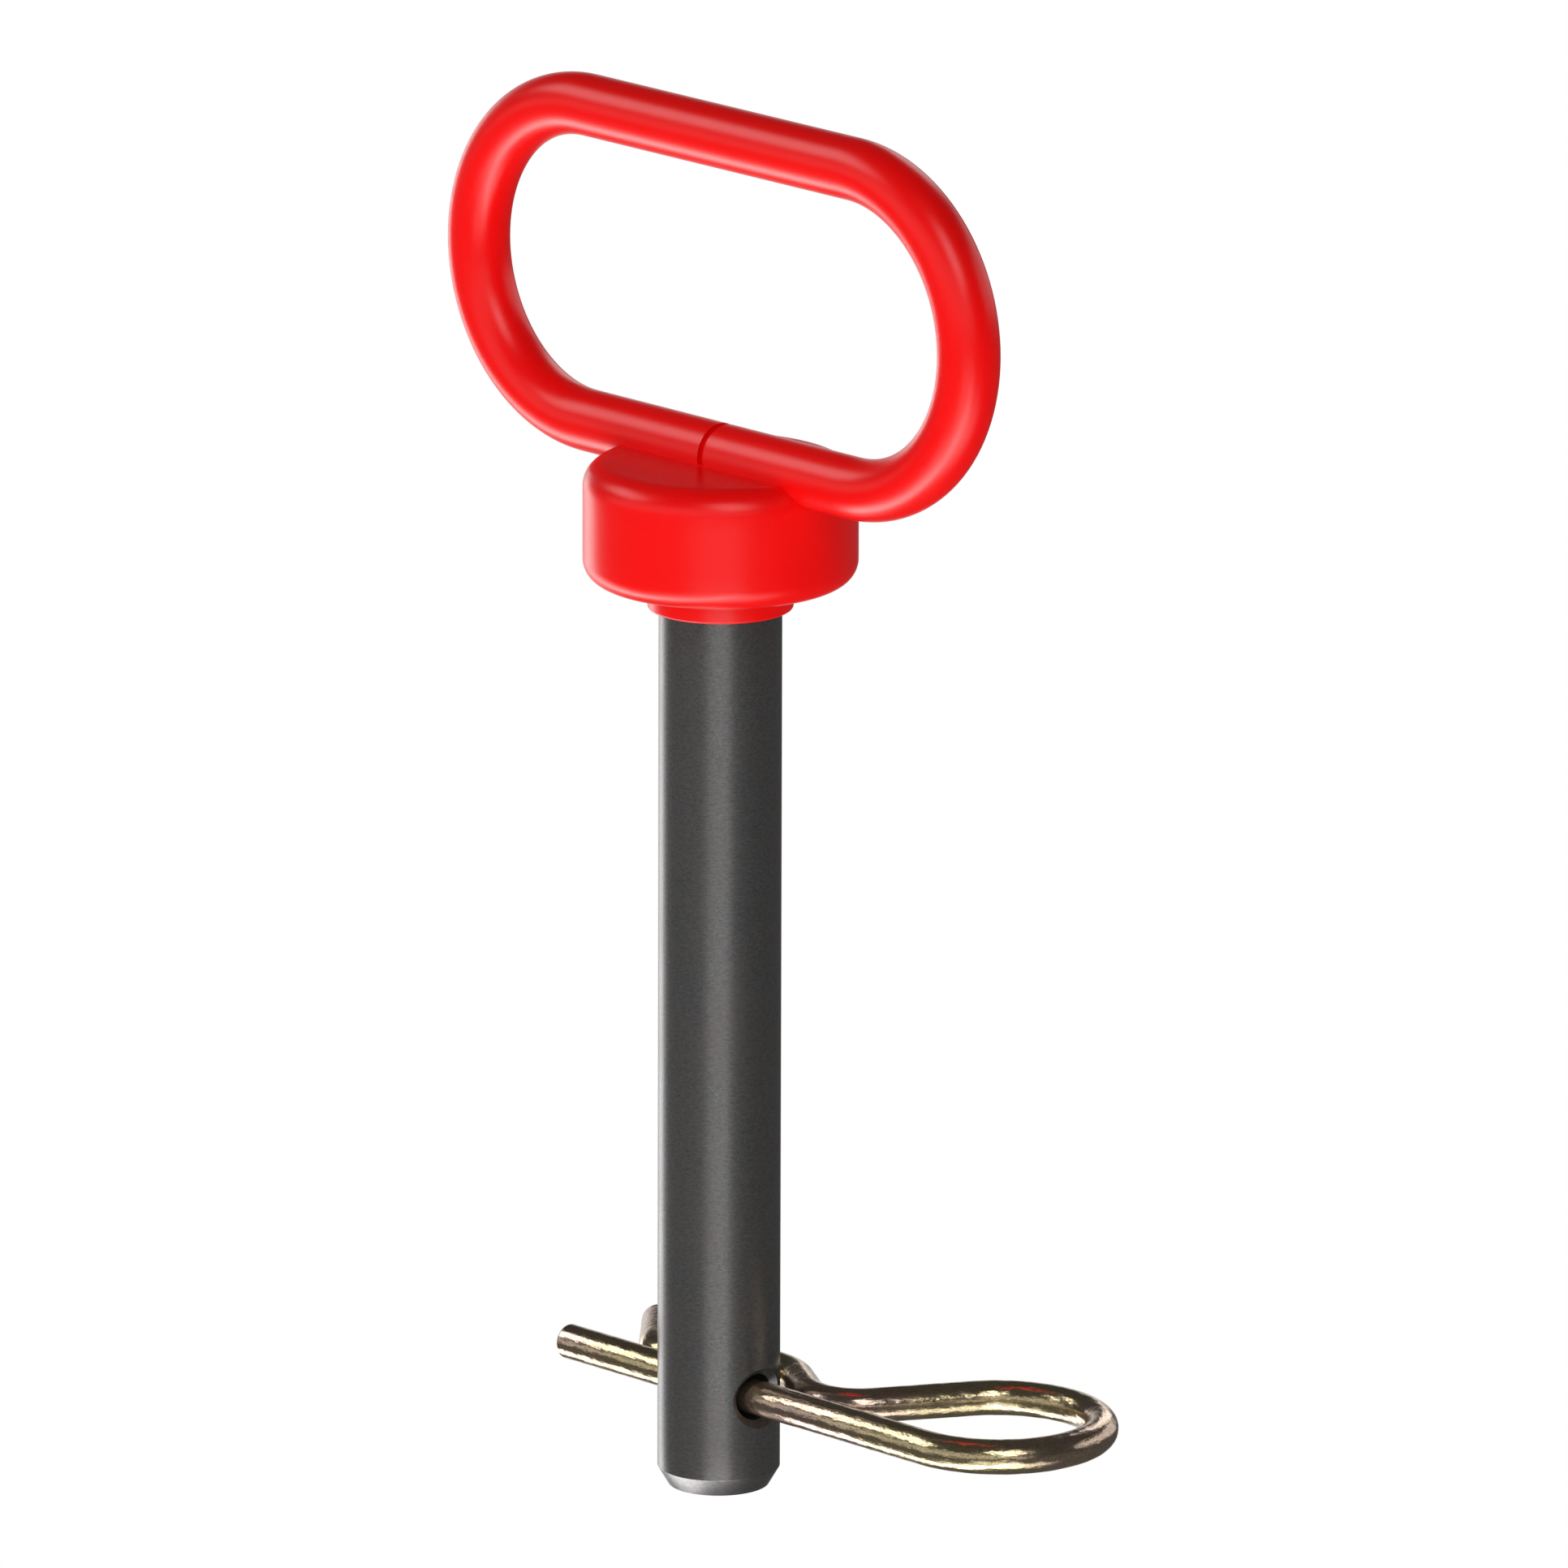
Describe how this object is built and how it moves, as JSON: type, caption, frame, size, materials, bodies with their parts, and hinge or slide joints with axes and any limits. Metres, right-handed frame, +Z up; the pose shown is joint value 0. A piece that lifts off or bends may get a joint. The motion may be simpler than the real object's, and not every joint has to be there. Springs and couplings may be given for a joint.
{
  "type": "hitch pin",
  "caption": "Steel hitch pin with a round red head and closed loop handle, held by a removable R-shaped spring clip through a cross hole near its tip.",
  "frame": {"origin": "centre of the shank's flat tip face", "axes": "+Z up the shank to the handle, +X along the clip's straight leg towards its bow, the handle in the XZ plane, +Y towards the clip's spring leg"},
  "size_m": [0.1028, 0.0464, 0.183],
  "materials": {
    "black_oxide_steel": "dark satin black oxide with fine turning marks round the bar",
    "bare_steel": "plain steel, hidden under the coating",
    "red_vinyl": "glossy red dipped vinyl",
    "yellow_zinc_wire": "bright yellow zinc plate on drawn spring wire"
  },
  "bodies": {
    "pin": {"shank": "black_oxide_steel", "head_boss": "bare_steel", "head_coating": "red_vinyl", "handle_rod": "bare_steel", "handle_coating": "red_vinyl", "weld_front": "bare_steel", "weld_back": "bare_steel"},
    "clip": {"clip_leg": "yellow_zinc_wire"},
    "clip_spring": {"clip_spring_leg": "yellow_zinc_wire"}
  },
  "joints": [
    {"name": "clip_pull", "type": "slide", "parent": "pin", "child": "clip", "axis": [1, 0, 0], "range_m": [0, 0.046], "deforming": ["clip_spring_leg"]},
    {"name": "spring_leg_open", "type": "hinge", "parent": "clip", "child": "clip_spring", "pos_m": [0.05132, 0.01322, 0.0129], "axis": [0, 0, -1], "range_deg": [0, 6]}
  ]
}
